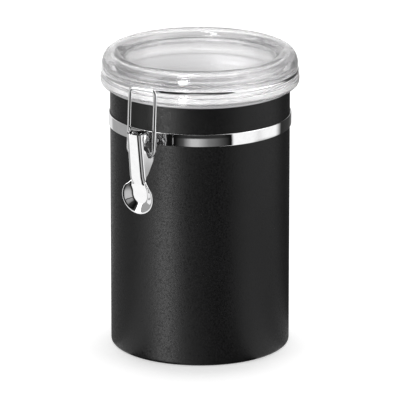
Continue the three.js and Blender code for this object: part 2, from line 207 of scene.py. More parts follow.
def tumbled_steel_finish():
    """Steel of the brackets, bright but duller than the polished pieces."""
    finish, start, place = new_finish("tumbled_steel")
    pits = noise(start, place, 900.0, 3.0, 0.6)
    close_finish(start, {
        "Base Color": tones(start, (0.68, 0.68, 0.685), (0.82, 0.82, 0.825), pits),
        "Roughness": 0.02 + pits * 0.1,
        "Normal": relief(start, pits, 0.05, 0.1),
        "Metallic": 1.0})
    return finish


def brushed_steel_finish():
    """Steel of the base, with a soft cloud and fine level lines where it stands upright."""
    finish, start, place = new_finish("brushed_steel")
    stretched = start.node("Mapping", {}, {"Vector": place, "Scale": (40.0, 40.0, 2400.0)})
    lines = noise(start, stretched, 1.0, 3.0)
    cloud = noise(start, place, 45.0, 2.0)
    close_finish(start, {
        "Base Color": tones(start, (0.56, 0.56, 0.565), (0.68, 0.68, 0.685), lines * 0.7 + cloud * 0.3),
        "Roughness": 0.24 + lines * 0.14,
        "Normal": relief(start, lines, 0.12, 0.1),
        "Metallic": 1.0})
    return finish


def satin_steel_finish():
    """Bare drawn steel inside the body, paler and duller than the brushed base."""
    finish, start, place = new_finish("satin_steel")
    stretched = start.node("Mapping", {}, {"Vector": place, "Scale": (30.0, 30.0, 900.0)})
    lines = noise(start, stretched, 1.0, 3.0)
    close_finish(start, {
        "Base Color": tones(start, (0.62, 0.62, 0.625), (0.74, 0.74, 0.745), lines),
        "Roughness": 0.45 + lines * 0.14,
        "Metallic": 0.45})
    return finish


def clear_acrylic_finish():
    """Clear moulded plastic, with a very slight haze that changes over the lid."""
    finish, start, place = new_finish("clear_acrylic")
    haze = noise(start, place, 60.0, 3.0)
    close_finish(start, {
        "Base Color": tones(start, (0.965, 0.96, 0.97), (0.99, 0.985, 0.99), haze),
        "Roughness": 0.005 + haze * 0.02,
        "IOR": 1.49,
        "Transmission Weight": 1.0,
        "Alpha": 0.82})
    return finish


def silicone_finish():
    """Milky silicone with a soft sheen."""
    finish, start, place = new_finish("milky_silicone")
    cloud = noise(start, place, 120.0, 3.0)
    close_finish(start, {
        "Base Color": tones(start, (0.88, 0.88, 0.875), (0.94, 0.94, 0.935), cloud),
        "Roughness": 0.4 + cloud * 0.15,
        "Subsurface Weight": 0.3,
        "Subsurface Radius": (0.003, 0.003, 0.003)})
    return finish


BLACK_COAT = black_coat_finish()
POLISHED_STEEL = polished_steel_finish()
TUMBLED_STEEL = tumbled_steel_finish()
BRUSHED_STEEL = brushed_steel_finish()
SATIN_STEEL = satin_steel_finish()
CLEAR_ACRYLIC = clear_acrylic_finish()
MILKY_SILICONE = silicone_finish()


# Mesh helpers

def clean(bm):
    """Merge doubled points and turn every face outwards."""
    bmesh.ops.remove_doubles(bm, verts=bm.verts, dist=0.001 * MM)
    bmesh.ops.recalc_face_normals(bm, faces=bm.faces)


def make_piece(bm, name, body, nodes, finishes, sharp_angle=40):
    """Turn a finished bmesh into a piece that moves with its body and stands for its solids."""
    mesh = bpy.data.meshes.new(name)
    bm.to_mesh(mesh)
    bm.free()
    for finish in finishes:
        mesh.materials.append(finish)
    mesh.shade_smooth()
    mesh.set_sharp_from_angle(angle=math.radians(sharp_angle))
    piece = bpy.data.objects.new(name, mesh)
    bpy.context.scene.collection.objects.link(piece)
    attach(piece, body)
    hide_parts(*nodes)
    return piece


def soften_edges(piece, width, angle=40):
    """A small round on every sharp edge of a pressed or bent piece."""
    bevel = piece.modifiers.new("edge_round", "BEVEL")
    bevel.width = width * MM
    bevel.segments = 2
    bevel.limit_method = "ANGLE"
    bevel.angle_limit = math.radians(angle)
    bevel.harden_normals = True


def give_thickness(piece, thickness):
    """Thicken a pressed sheet evenly to both sides."""
    sheet = piece.modifiers.new("sheet_thickness", "SOLIDIFY")
    sheet.thickness = thickness * MM
    sheet.offset = 0.0


def keep_cut_edges(piece, sharp_angle):
    """Make a sheet's thickness part of its mesh, so that its cut edges shade as crisp ones."""
    shaped = piece.evaluated_get(bpy.context.evaluated_depsgraph_get())
    mesh = bpy.data.meshes.new_from_object(shaped)
    mesh.set_sharp_from_angle(angle=math.radians(sharp_angle))
    piece.modifiers.clear()
    piece.data = mesh


def draw_outline(bm, points, closed, segments=6):
    """Points and lines from (first, second) places in the XZ plane; a third number rounds the corner."""
    corners = [bm.verts.new((point[0] * MM, 0, point[1] * MM)) for point in points]
    for first, second in zip(corners, corners[1:]):
        bm.edges.new((first, second))
    if closed:
        bm.edges.new((corners[-1], corners[0]))
    for corner, point in zip(corners, points):
        if len(point) > 2:
            bmesh.ops.bevel(bm, geom=[corner], offset=point[2] * MM, offset_type="OFFSET",
                            segments=segments, profile=0.5, affect="VERTICES", material=-1)


def turned(points, closed=True, segments=6, steps=ROUND_STEPS):
    """A turned form: an outline of (radius, height) spun about the canister's axis."""
    bm = bmesh.new()
    draw_outline(bm, points, closed, segments)
    bmesh.ops.spin(bm, geom=bm.verts[:] + bm.edges[:], cent=(0, 0, 0), axis=(0, 0, 1),
                   angle=2 * math.pi, steps=steps, use_merge=True)
    clean(bm)
    return bm


def turn_over(bm, degrees, axis):
    """Turn a whole form about an axis through the origin."""
    turn = Matrix.Rotation(math.radians(degrees), 3, axis)
    bmesh.ops.rotate(bm, verts=bm.verts, cent=(0, 0, 0), matrix=turn)


def arc(centre_radius, centre_height, radius, start, end, steps):
    """Places on an arc, its angles in degrees from the outward direction."""
    angles = [math.radians(start + (end - start) * step / steps) for step in range(steps + 1)]
    return [(centre_radius + radius * math.cos(angle), centre_height + radius * math.sin(angle))
            for angle in angles]


def pressed_sheet(columns, rows, place):
    """A sheet of columns by rows of faces, each point put where place(column, row) says in millimetres."""
    bm = bmesh.new()
    bmesh.ops.create_grid(bm, x_segments=columns, y_segments=rows, size=1)
    for vert in bm.verts:
        column = round((vert.co.x + 1) / 2 * columns)
        row = round((1 - vert.co.y) / 2 * rows)
        vert.co = Vector(place(column, row)) * MM
    clean(bm)
    return bm


def ease(share):
    """A soft step from 0 to 1."""
    share = min(max(share, 0.0), 1.0)
    return share * share * (3 - 2 * share)


def along(points, place):
    """Value at a place on a line through (place, value) points, which run downwards."""
    for (upper, high), (lower, low) in zip(points, points[1:]):
        if place >= lower:
            share = (upper - place) / (upper - lower)
            return high + (low - high) * min(max(share, 0.0), 1.0)
    return points[-1][1]


def only_points(geometry):
    """The points among the points, edges and faces that an operator gives back."""
    return [item for item in geometry if isinstance(item, bmesh.types.BMVert)]


class BentWire:
    """A round wire drawn out of a disc, run by run and bend by bend."""

    def __init__(self, start, heading, bend_axis, radius, sides=16):
        self.bm = bmesh.new()
        self.at = Vector(start) * MM
        self.heading = Vector(heading).normalized()
        self.bend_axis = Vector(bend_axis).normalized()
        turn = self.heading.to_track_quat("Z", "Y").to_matrix().to_4x4()
        bmesh.ops.create_circle(self.bm, cap_ends=False, radius=radius * MM, segments=sides,
                                matrix=Matrix.Translation(self.at) @ turn)
        self.end = self.bm.edges[:]

    def run(self, length, pieces=1):
        """Go straight on."""
        for _ in range(pieces):
            step = self.heading * (length * MM / pieces)
            grown = bmesh.ops.extrude_edge_only(self.bm, edges=self.end)["geom"]
            bmesh.ops.translate(self.bm, vec=step, verts=only_points(grown))
            self.end = [edge for edge in grown if isinstance(edge, bmesh.types.BMEdge)
                        and len(edge.link_faces) == 1]
            self.at = self.at + step

    def bend(self, radius, degrees, steps=8):
        """Turn about the bend axis; a positive angle turns left seen along the axis."""
        side = self.bend_axis.cross(self.heading) * (1 if degrees > 0 else -1)
        centre = self.at + side * (radius * MM)
        angle = math.radians(degrees)
        grown = bmesh.ops.spin(self.bm, geom=self.end, cent=centre, axis=self.bend_axis,
                               angle=angle, steps=steps)["geom_last"]
        self.end = [edge for edge in grown if isinstance(edge, bmesh.types.BMEdge)]
        turn = Matrix.Rotation(angle, 3, self.bend_axis)
        self.at = centre + turn @ (self.at - centre)
        self.heading = turn @ self.heading

    def close_ends(self):
        """Flat discs at both open ends."""
        open_edges = [edge for edge in self.bm.edges if len(edge.link_faces) == 1]
        bmesh.ops.holes_fill(self.bm, edges=open_edges, sides=0)

    def finished(self):
        clean(self.bm)
        return self.bm


# Body shell, base and band

WALL_RADIUS = 57.5
WALL_SHEET = 0.8
WALL_LOW = 6.0
WALL_HIGH = RIM_TOP - 6.0
HEM_RADIUS = 50.2
FOOT_ROUND = 2.2
RIM_RADIUS = 60.0
CURL_RADIUS = 1.7
COAT_STOP = 3.3
BAND_RADIUS = 58.5
BAND_SHEET = 0.7


def build_body_shell():
    """A drawn tube with a hem at the foot and a rolled rim, coated outside and bare inside."""
    inside = WALL_RADIUS - WALL_SHEET
    outline = [(HEM_RADIUS, 0.0), (WALL_RADIUS, 0.0, FOOT_ROUND),
               (WALL_RADIUS, WALL_LOW), (WALL_RADIUS, WALL_HIGH)]
    outline += arc(RIM_RADIUS - CURL_RADIUS, RIM_TOP - CURL_RADIUS, CURL_RADIUS, -120, 180, 20)
    outline += [(inside, WALL_HIGH), (inside, WALL_LOW), (inside, WALL_SHEET, FOOT_ROUND - WALL_SHEET),
                (HEM_RADIUS, WALL_SHEET)]
    bm = turned(outline, segments=8)
    for face in bm.faces:
        middle = face.calc_center_median()
        outward = face.normal.dot(Vector((middle.x, middle.y, 0)).normalized())
        under_curl = middle.z < (RIM_TOP - COAT_STOP) * MM
        coated = under_curl and (outward > 0.1 or middle.z < WALL_SHEET / 2 * MM)
        face.material_index = 0 if coated else 1
    return make_piece(bm, "coated_body", "canister", ["body_shell"], [BLACK_COAT, SATIN_STEEL])


def build_base():
    """A pressed disc with a raised edge that laps on the hem."""
    bm = turned([
        (0.0, 0.0), (47.5, 0.0, 0.5), (49.3, 1.1, 0.5), (55.4, 1.1, 0.3), (55.4, 1.9, 0.3),
        (48.9, 1.9, 0.6), (46.7, 0.8, 0.6), (0.0, 0.8)], closed=False)
    make_piece(bm, "pressed_base", "canister", ["base_plate"], [BRUSHED_STEEL])


def build_band():
    """A strip round the body with rounded outer edges."""
    inner = BAND_RADIUS - BAND_SHEET
    bm = turned([
        (inner, BAND_BOTTOM, 0.1), (BAND_RADIUS, BAND_BOTTOM, 0.5),
        (BAND_RADIUS, BAND_TOP, 0.5), (inner, BAND_TOP, 0.1)])
    make_piece(bm, "polished_band", "canister", ["clamp_band"], [POLISHED_STEEL], 60)


# Brackets that carry the lever pin

EAR_SHEET = 0.72
EAR_TIP_RADIUS = 3.8
EAR_DROP = 3.3
EAR_PLANE = 3.3
EAR_BEND = 1.6
EAR_SPLAY = math.radians(8.0)
EAR_FOOT_RADIUS = 59.23
EAR_FOOT_END = 16.2
EAR_FOOT_TOP = BAND_TOP - 0.3
EAR_FOOT_BOTTOM = BAND_BOTTOM + 0.3
EAR_CORNER = 0.9
EAR_ROWS = 22
WELD_ACROSS = 10.5
WELD_RADIUS = 2.1
WELD_DEPTH = 0.14

# Edges of the gusset, each a distance from the canister's axis and a height
EAR_LOWER_EDGE = [(73.4, PIN.z - EAR_DROP), (66.4, PIN.z - 7.3), (64.4, PIN.z - 11.2),
                  (62.8, PIN.z - 12.3), (59.0, PIN.z - 12)]
EAR_UPPER_EDGE = [(71.9, PIN.z + EAR_TIP_RADIUS), (59.0, EAR_FOOT_TOP)]


def ear_columns():
    """Places along a bracket from the ear's tip to the foot's end: across, out, lower and upper edge."""
    columns = []
    slope = math.tan(EAR_SPLAY)

    def plane(out):
        """The ear's distance from the middle, which grows towards the body."""
        return EAR_PLANE + slope * (-PIN.y - out)

    # Round tip
    for step in range(9):
        angle = math.radians(84.0 * step / 8)
        out = -PIN.y + EAR_TIP_RADIUS * math.cos(angle)
        rise = EAR_TIP_RADIUS * math.sin(angle)
        columns.append((plane(out), out, max(PIN.z - rise, PIN.z - EAR_DROP), PIN.z + rise))

    # Gusset, up to a bend that touches both the ear's plane and the foot's round
    shift = plane(0.0) + EAR_BEND / math.cos(EAR_SPLAY)
    square = 1 + slope * slope
    inner = shift ** 2 - (EAR_FOOT_RADIUS + EAR_BEND) ** 2
    centre_out = (shift * slope + math.sqrt((shift * slope) ** 2 - square * inner)) / square
    centre_across = shift - slope * centre_out
    bend_out = centre_out - EAR_BEND * math.sin(EAR_SPLAY)
    for step in range(1, 13):
        out = -PIN.y + (bend_out + PIN.y) * step / 12
        columns.append((plane(out), out, along(EAR_LOWER_EDGE, out), along(EAR_UPPER_EDGE, out)))

    # Bend
    start = math.asin(centre_across / (EAR_FOOT_RADIUS + EAR_BEND))
    for step in range(1, 11):
        share = step / 10
        angle = math.pi + EAR_SPLAY + (math.pi / 2 - start - EAR_SPLAY) * share
        across = centre_across + EAR_BEND * math.cos(angle)
        out = centre_out + EAR_BEND * math.sin(angle)
        lower = along(EAR_LOWER_EDGE, out)
        lower += (EAR_FOOT_BOTTOM - lower) * ease(share)
        columns.append((across, out, lower, along(EAR_UPPER_EDGE, out)))

    # Foot on the band, with rounded corners at its end
    end = math.asin(EAR_FOOT_END / EAR_FOOT_RADIUS)
    for step in range(1, 25):
        angle = start + (end - start) * step / 24
        left = (end - angle) * EAR_FOOT_RADIUS
        corner = max(0.0, EAR_CORNER - left)
        trim = EAR_CORNER - math.sqrt(max(EAR_CORNER ** 2 - corner ** 2, 0.0))
        columns.append((EAR_FOOT_RADIUS * math.sin(angle), EAR_FOOT_RADIUS * math.cos(angle),
                        EAR_FOOT_BOTTOM + trim, EAR_FOOT_TOP - trim))
    return columns


def build_ear(side, name, node):
    """A strip along the band, with a weld dimple, that turns out into a gusset with a round end."""
    columns = ear_columns()

    def place(column, row):
        across, out, lower, upper = columns[column]
        height = upper + (lower - upper) * row / EAR_ROWS
        weld = math.hypot(across - WELD_ACROSS, height - BAND_MIDDLE)
        sink = WELD_DEPTH * (1 - ease(weld / WELD_RADIUS))
        reach = 1 - sink / math.hypot(across, out)
        return side * across * reach, -out * reach, height

    bm = pressed_sheet(len(columns) - 1, EAR_ROWS, place)
    piece = make_piece(bm, name, "canister", [node], [TUMBLED_STEEL], 60)
    give_thickness(piece, EAR_SHEET)
    soften_edges(piece, 0.15, angle=50)


def build_pin():
    """The pivot rivet: a shank with a domed head at each end."""
    shank_radius = 1.5
    head_start = 5.6
    head = [(3.3, head_start, 0.2), (3.15, 6.0, 0.25), (2.5, 6.35, 0.6), (1.3, 6.58, 0.8), (0.0, 6.6)]
    outline = [(radius, -height, *corner) for radius, height, *corner in reversed(head)]
    outline += [(shank_radius, -head_start), (shank_radius, head_start)]
    bm = turned(outline + head, closed=False, segments=4, steps=48)
    turn_over(bm, 90, "Y")
    bmesh.ops.translate(bm, verts=bm.verts, vec=PIN * MM)
    make_piece(bm, "pivot_rivet", "canister", ["lever_pivot_pin"], [POLISHED_STEEL])


# Rear hinge

STRAP_OUT = 59.3
STRAP_TOP_OUT = 65.1
STRAP_HALF_WIDTH = 6.0
STRAP_SHEET = 1.0
STRAP_FOOT = BAND_BOTTOM + 0.5
STRAP_CORNER = 1.5
KNUCKLE_RADIUS = 1.89
RIVET_ACROSS = 3.2


def build_hinge_strap():
    """A strap riveted on the band, stepped out and rolled round the ring's hinge length."""
    bm = bmesh.new()
    path = [(STRAP_OUT, STRAP_FOOT), (STRAP_OUT, BAND_TOP + 2.0, 3.0), (STRAP_TOP_OUT, GROOVE - 12.8, 3.0)]
    path += arc(HINGE.y, GROOVE, KNUCKLE_RADIUS, 180, -80, 20)
    draw_outline(bm, path, closed=False)
    turn_over(bm, 90, "Z")
    bmesh.ops.translate(bm, verts=bm.verts, vec=(-STRAP_HALF_WIDTH * MM, 0, 0))
    grown = bmesh.ops.extrude_edge_only(bm, edges=bm.edges[:])["geom"]
    bmesh.ops.translate(bm, vec=(2 * STRAP_HALF_WIDTH * MM, 0, 0), verts=only_points(grown))
    clean(bm)
    feet = [vert for vert in bm.verts if vert.co.z < (STRAP_FOOT + 0.1) * MM]
    bmesh.ops.bevel(bm, geom=feet, offset=STRAP_CORNER * MM, offset_type="OFFSET", segments=5, profile=0.5,
                    affect="VERTICES", material=-1)
    piece = make_piece(bm, "hinge_strap", "canister", ["hinge_bracket"], [POLISHED_STEEL])
    give_thickness(piece, STRAP_SHEET)
    soften_edges(piece, 0.2)


def build_hinge_rivet(side, name, node):
    """A shank through the band and the strap, with a domed head outside."""
    bm = turned([
        (0.0, 57.95), (1.1, 57.95), (1.1, 60.15), (2.2, 60.15, 0.15), (2.0, 60.7, 0.3),
        (1.2, 61.1, 0.4), (0.0, 61.2)], closed=False, segments=4, steps=32)
    turn_over(bm, -90, "X")
    bmesh.ops.translate(bm, verts=bm.verts, vec=(side * RIVET_ACROSS * MM, 0, BAND_MIDDLE * MM))
    make_piece(bm, name, "canister", [node], [POLISHED_STEEL])


# Lid

WIRE_RING_RADIUS = 61.9
RING_WIRE = 1.1
KEEPER_OUT = 63.1


def build_lid():
    """Clear lid: dished top inside a hollow rounded ring, a groove, a lower ring, a channel and a plug."""
    top = LID_CREST
    dish = [(0.0, top - 5.3), (44.0, top - 5.3), (46.5, top - 5.3, 1.2), (48.6, top - 4.4, 0.9)]
    upper_ring = [
        (50.2, top - 1.9, 1.2), (52.6, top - 0.4, 1.1), (56.0, top, 1.2), (58.6, top - 0.9, 1.2),
        (60.6, top - 2.7, 1.2), (61.9, top - 5.2, 1.2), (62.6, top - 8.2, 1.0)]
    groove = [
        (62.2, GROOVE + 2.7, 0.7), (61.2, GROOVE + 1.4, 0.5), (60.4, GROOVE + 0.8, 0.3),
        (60.4, GROOVE - 0.7, 0.3), (61.3, GROOVE - 1.5, 0.5)]
    lower_ring = [
        (62.6, GROOVE - 2.2, 0.6), (63.3, GROOVE - 3.2, 0.6), (63.5, GROOVE - 4.6, 0.6),
        (63.4, GROOVE - 7.0, 0.6), (62.8, GROOVE - 8.3, 0.3), (62.1, GROOVE - 8.7, 0.3),
        (61.5, GROOVE - 8.7, 0.2), (61.2, GROOVE - 8.2, 0.2)]
    channel = [(61.2, GROOVE - 4.4, 0.2), (59.6, GROOVE - 4.4, 0.3)]
    hollow = [
        (58.2, GROOVE - 1.6, 0.8), (58.4, GROOVE + 3.0, 1.0), (59.8, GROOVE + 4.6, 1.0),
        (59.4, top - 5.4, 1.0), (58.0, top - 3.6, 1.0), (56.0, top - 2.8, 1.0), (53.8, top - 3.2, 0.8),
        (52.8, top - 5.0, 0.8), (53.6, top - 9.0, 0.8), (55.3, GROOVE - 2.0, 0.8)]
    plug = [
        (55.3, GROOVE - 4.4, 0.2), (55.1, PLUG_BOTTOM + 0.6, 0.5), (54.4, PLUG_BOTTOM, 0.3),
        (53.2, PLUG_BOTTOM, 0.3), (52.6, PLUG_BOTTOM + 0.6, 0.5), (52.5, PLUG_BOTTOM + 2.5)]
    underside = [
        (52.1, top - 12.5), (52.0, top - 10.5, 1.0), (50.8, top - 9.3, 1.0), (48.0, top - 9.3),
        (0.0, top - 9.3)]
    bm = turned(dish + upper_ring + groove + lower_ring + channel + hollow + plug + underside,
                closed=False, segments=5, steps=224)
    piece = make_piece(bm, "clear_lid", "lid", ["lid"], [CLEAR_ACRYLIC], 50)
    piece.visible_shadow = False
    return piece


def build_gasket():
    """A seal in the lid's channel, with a shallow groove for the rim."""
    low = RIM_TOP + 0.3
    high = GROOVE - 4.7
    bm = turned([
        (56.2, low, 0.4), (57.2, low, 0.2), (57.5, low + 0.3, 0.2), (59.3, low + 0.3, 0.2),
        (59.6, low, 0.2), (60.7, low, 0.4), (60.7, high, 0.4), (56.2, high, 0.4)])
    make_piece(bm, "sealing_ring", "lid", ["lid_gasket"], [MILKY_SILICONE], 60)


def build_wire_ring():
    """A wire round the groove, straight at the front as a keeper and cranked out at the rear as a hinge."""
    hinge_angle = 15.0
    hinge_kick = 35.0
    hinge_rise = hinge_angle + hinge_kick
    hinge_bend = 3.0
    keeper_angle = 12.1
    keeper_kick = 8.0
    keeper_rise = keeper_angle + keeper_kick
    keeper_bend = 4.0

    def reach(target, angle, rise, bend):
        """Length of the straight part that takes the wire out to the target distance."""
        cosine = math.cos(math.radians(angle)) - 2 * math.cos(math.radians(rise)) + 1
        gap = target - WIRE_RING_RADIUS * math.cos(math.radians(angle)) - bend * cosine
        return gap / math.sin(math.radians(rise))

    def half_length(angle, rise, bend, straight):
        """Half of the straight wire that is left between the two bends."""
        across = bend * (2 * math.sin(math.radians(rise)) - math.sin(math.radians(angle)))
        used = across + straight * math.cos(math.radians(rise))
        return WIRE_RING_RADIUS * math.sin(math.radians(angle)) - used

    hinge_run = reach(HINGE.y, hinge_angle, hinge_rise, hinge_bend)
    hinge_half = half_length(hinge_angle, hinge_rise, hinge_bend, hinge_run)
    keeper_run = reach(KEEPER_OUT, keeper_angle, keeper_rise, keeper_bend)
    keeper_half = half_length(keeper_angle, keeper_rise, keeper_bend, keeper_run)
    side_arc = 180.0 - hinge_angle - keeper_angle

    wire = BentWire((0, -KEEPER_OUT, GROOVE), (1, 0, 0), (0, 0, 1), RING_WIRE)
    wire.run(keeper_half)
    wire.bend(keeper_bend, keeper_rise, 6)
    wire.run(keeper_run)
    wire.bend(keeper_bend, -keeper_kick, 4)
    wire.bend(WIRE_RING_RADIUS, side_arc, 96)
    wire.bend(hinge_bend, -hinge_kick, 6)
    wire.run(hinge_run)
    wire.bend(hinge_bend, hinge_rise, 8)
    wire.run(2 * hinge_half)
    wire.bend(hinge_bend, hinge_rise, 8)
    wire.run(hinge_run)
    wire.bend(hinge_bend, -hinge_kick, 6)
    wire.bend(WIRE_RING_RADIUS, side_arc, 96)
    wire.bend(keeper_bend, -keeper_kick, 4)
    wire.run(keeper_run)
    wire.bend(keeper_bend, keeper_rise, 6)
    wire.run(keeper_half)
    make_piece(wire.finished(), "ring_wire", "lid", ["lid_wire_ring"], [POLISHED_STEEL])


# Latch

# Lever places are counted from the pin: across, outwards, and up along the lever
LEVER_LEAN = 7.0
LEVER_SHEET = 0.95
LEVER_FACE = 5.2
LEVER_HALF_WIDTH = 5.05
LEVER_WIDENING = 0.012
LEVER_BEND = 2.2
FLANGE_SPLAY = 0.205
FLANGE_CURL = 0.001
SPLAY_TOP = -4.5
SPLAY_FADE_IN = 4.5
SPLAY_BOTTOM = -27.5
SPLAY_FADE_OUT = 5.0
LOBE_RADIUS = 4.0
NECK_TOP = -26.6
NECK_END = -31.4
NECK_BLEND = 4.0
SINK_TOP = -24.0
SINK_LENGTH = 12.0
SPOON_MIDDLE = -38.0
SPOON_RADIUS = 11.4
SPOON_FLOOR = 2.2
SPOON_FLAT = 5.7
SPOON_SLOPE = math.tan(math.radians(33.0))
SPOON_SOFTNESS = 0.15
SPOON_LIP = 0.6

# Faces across the lever
FLANGE_COLUMNS = 8
BEND_COLUMNS = 6
FACE_COLUMNS = 12
LEVER_COLUMNS = 2 * (FLANGE_COLUMNS + BEND_COLUMNS) + FACE_COLUMNS

BAIL_WIRE = 1.25
CROSSBAR = Vector((0, -65.9, 182.3))


def lever_rows():
    """Rows from the top edge to the tip: how far out the flange ends, and the place along the lever."""
    lobe = arc(0, 0, LOBE_RADIUS, 90, 230, 14)
    notch = [(-0.6, -3.75), (1.2, -4.3), (2.6, -4.9), (3.1, -5.5), (3.0, -6.2), (2.2, -7.2), (1.3, -8.2),
             (0.5, -9.0), (-0.5, -9.5), (-1.8, -9.8), (-3.4, -10.2), (-4.7, -11.0), (-5.3, -12.0),
             (-5.5, -13.1), (-5.4, -14.2)]
    taper = [(-5.0 + 8.0 * step / 10, -15.2 - 11.0 * step / 10) for step in range(11)]
    # Out here there is no flange left
    past_bend = 3.65
    neck = [(past_bend, up) for up in (-27.4, -28.4, -29.4, -30.4, NECK_END)]
    first = math.asin((NECK_END - SPOON_MIDDLE) / SPOON_RADIUS)
    angles = [first + (-math.pi / 2 - first) * step / 30 for step in range(1, 31)]
    spoon = [(past_bend, SPOON_MIDDLE + SPOON_RADIUS * math.sin(angle)) for angle in angles]
    return lobe + notch + taper + neck + spoon


def lever_half_width(up):
    """Straight down to the neck, then flared into the round of the spoon."""
    chord = math.sqrt(max(SPOON_RADIUS ** 2 - (up - SPOON_MIDDLE) ** 2, 0.0))
    flare = (NECK_TOP - up) / (NECK_TOP - NECK_END)
    if flare >= 1:
        return chord
    end = math.sqrt(SPOON_RADIUS ** 2 - (NECK_END - SPOON_MIDDLE) ** 2)
    straight = LEVER_HALF_WIDTH - LEVER_WIDENING * min(up, 0.0)
    return straight + (end - straight) * max(flare, 0.0) ** 2


def web_out(up):
    """How far out the web lies; below the neck it sinks to the floor of the spoon."""
    return LEVER_FACE + (SPOON_FLOOR - LEVER_FACE) * ease((SINK_TOP - up) / SINK_LENGTH)


def spoon_wall(across, up):
    """Height of the spoon's wall over its floor: a flat middle, a straight slope and a level lip."""
    outer = lever_half_width(max(up, SPOON_MIDDLE)) - SPOON_LIP
    reach = min(math.hypot(across, min(up - SPOON_MIDDLE, 0.0)), outer)
    over = reach - SPOON_FLAT
    return SPOON_SLOPE * (over + math.sqrt(over * over + SPOON_SOFTNESS)) / 2


def flange_spread(depth, up):
    """How far a flange stands off square at a depth under the bend; none at the lobe and at the neck."""
    below_lobe = ease((SPLAY_TOP - up) / SPLAY_FADE_IN)
    above_neck = ease((up - SPLAY_BOTTOM) / SPLAY_FADE_OUT)
    return below_lobe * above_neck * (FLANGE_SPLAY * depth - FLANGE_CURL * depth * depth)


def channel_place(column, edge, up):
    """Place across the channel, counted in columns from one flange edge to the other."""
    mirrored = column > LEVER_COLUMNS / 2
    inner = LEVER_COLUMNS - column if mirrored else column
    half_width = lever_half_width(max(up, NECK_TOP))
    bend_start = web_out(up) - LEVER_BEND
    edge = min(edge, bend_start)
    if inner <= FLANGE_COLUMNS:
        out = edge + (bend_start - edge) * inner / FLANGE_COLUMNS
        across = half_width + flange_spread(bend_start - out, up)
    elif inner <= FLANGE_COLUMNS + BEND_COLUMNS:
        angle = (inner - FLANGE_COLUMNS) / BEND_COLUMNS * math.pi / 2
        across = half_width - LEVER_BEND + LEVER_BEND * math.cos(angle)
        out = bend_start + LEVER_BEND * math.sin(angle)
    else:
        share = (inner - FLANGE_COLUMNS - BEND_COLUMNS) / (FACE_COLUMNS / 2)
        across = (half_width - LEVER_BEND) * (1 - share)
        out = web_out(up)
    return (across if mirrored else -across), out


def build_lever():
    """One pressed sheet: a channel with notched flanges that runs out into a dished spoon."""
    rows = lever_rows()

    def place(column, row):
        edge, up = rows[row]
        spoon = ease((NECK_TOP - up) / NECK_BLEND)
        channel_across, channel_out = channel_place(column, edge, up)
        spoon_across = lever_half_width(up) * (2 * column / LEVER_COLUMNS - 1)
        spoon_out = web_out(up) + spoon_wall(spoon_across, up)
        across = channel_across + (spoon_across - channel_across) * spoon
        out = channel_out + (spoon_out - channel_out) * spoon
        return across, -out, up

    bm = pressed_sheet(LEVER_COLUMNS, len(rows) - 1, place)
    turn_over(bm, LEVER_LEAN, "X")
    bmesh.ops.translate(bm, verts=bm.verts, vec=PIN * MM)
    piece = make_piece(bm, "pressed_lever", "lever", ["latch_lever"], [POLISHED_STEEL], 60)
    give_thickness(piece, LEVER_SHEET)
    keep_cut_edges(piece, 60)


def build_bail():
    """A wire loop from the lever's holes up and over the keeper."""
    rise = CROSSBAR - BAIL_FOOT
    plane = Vector((1, 0, 0)).cross(rise).normalized()
    foot_bend = 4.9
    top_bend = 3.0
    leg = 9.4
    end = 3.5
    foot_run = leg - end - foot_bend
    leg_run = rise.length - foot_bend - top_bend
    wire = BentWire((-end, BAIL_FOOT.y, BAIL_FOOT.z), (-1, 0, 0), -plane, BAIL_WIRE)
    wire.run(foot_run)
    wire.bend(foot_bend, 90, 10)
    wire.run(leg_run, 4)
    wire.bend(top_bend, 90, 8)
    wire.run(2 * (leg - top_bend))
    wire.bend(top_bend, 90, 8)
    wire.run(leg_run, 4)
    wire.bend(foot_bend, 90, 10)
    wire.run(foot_run)
    wire.close_ends()
    piece = make_piece(wire.finished(), "bail_loop", "bail", ["bail_wire"], [POLISHED_STEEL])
    soften_edges(piece, 0.25)


coated_body = build_body_shell()
build_base()
build_band()
build_ear(-1, "ear_plate_left", "ear_bracket_left")
build_ear(1, "ear_plate_right", "ear_bracket_right")
build_pin()
build_hinge_strap()
build_hinge_rivet(-1, "strap_rivet_left", "hinge_rivet_left")
build_hinge_rivet(1, "strap_rivet_right", "hinge_rivet_right")
clear_lid = build_lid()
build_gasket()
build_wire_ring()
build_lever()
build_bail()


# Studio

WHITE = (1, 1, 1, 1)
PAPER = (0.8, 0.8, 0.8, 1)
PLAIN_LIGHT = 0.55
FLOOR_REACH = 8.0
LAMP_TARGET = Vector((0, 0, 0.1))
# The painted shadow on the floor is centred this far from the axis, towards the camera
PAINTED_SHADOW_REACH = 0.0277
PAINTED_SHADOW_MIDDLE = (PAINTED_SHADOW_REACH * math.sin(VIEW_AZIMUTH), -PAINTED_SHADOW_REACH * math.cos(VIEW_AZIMUTH), 0.0)

# What shiny pieces see of the studio, by degrees to the right of the camera: pale cards and dark gaps
STUDIO_CARDS = [
    (-180, 0.6), (-160, 0.85), (-143, 0.85), (-137, 0.4), (-80, 0.36), (-74, 1.05), (-54, 1.05),
    (-51, 0.09), (-46, 0.06), (-38, 0.006), (-29, 0.006), (-20, 0.08), (-10, 0.55), (-3, 0.55), (10, 0.2),
    (25, 0.08), (36, 0.006), (38, 0.006), (41, 1.05), (66, 1.05), (76, 0.88), (88, 1.05), (106, 1.05),
    (118, 0.03), (145, 0.05), (160, 0.2), (180, 0.6)]
# The same with a grey right, painted shade for the floor close to the canister, and with a dark front, for
# far out
SHADED_NEAR_CARDS = [(turn, 0.45 if 70 < turn < 110 else level) for turn, level in STUDIO_CARDS]
FAR_CARDS = [(turn, min(level, 0.03) if -25 < turn < 30 else level) for turn, level in STUDIO_CARDS]


def pale_back(cards):
    """The cards as they are above the floor, where the back is pale."""
    return [(turn, max(level, 0.9) if turn < -140 or turn == 180 else level) for turn, level in cards]


